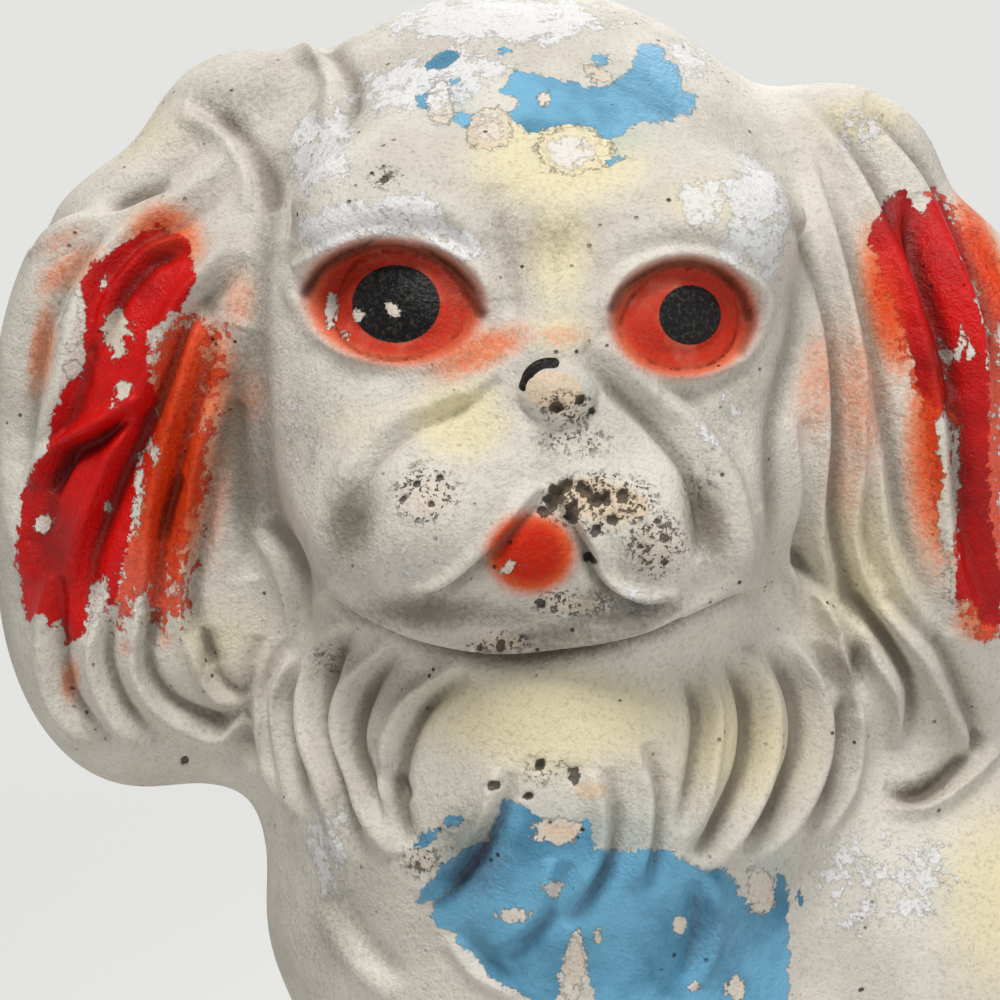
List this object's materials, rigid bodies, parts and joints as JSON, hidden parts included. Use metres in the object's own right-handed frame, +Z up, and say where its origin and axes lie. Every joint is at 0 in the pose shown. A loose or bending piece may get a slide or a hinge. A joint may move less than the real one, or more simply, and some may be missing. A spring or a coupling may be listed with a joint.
{
  "type": "chalkware dog figure",
  "caption": "Seated long-eared dog figure of painted plaster, a hollow casting in two halves on a low oval base.",
  "frame": {"origin": "middle of the flat face that the figure rests on", "axes": "+Z up, -Y the way the face looks, +X to the right as seen from the front"},
  "size_m": [0.1879, 0.1255, 0.256],
  "materials": {
    "painted_plaster": "worn matt paint on cast plaster",
    "seam_plaster": "scraped plaster slip, matt",
    "bare_plaster": "bare plaster, matt"
  },
  "bodies": {
    "root": {"front_casting": "painted_plaster", "rear_casting": "painted_plaster", "seam_slip": "seam_plaster", "base_closure": "bare_plaster"}
  },
  "joints": []
}
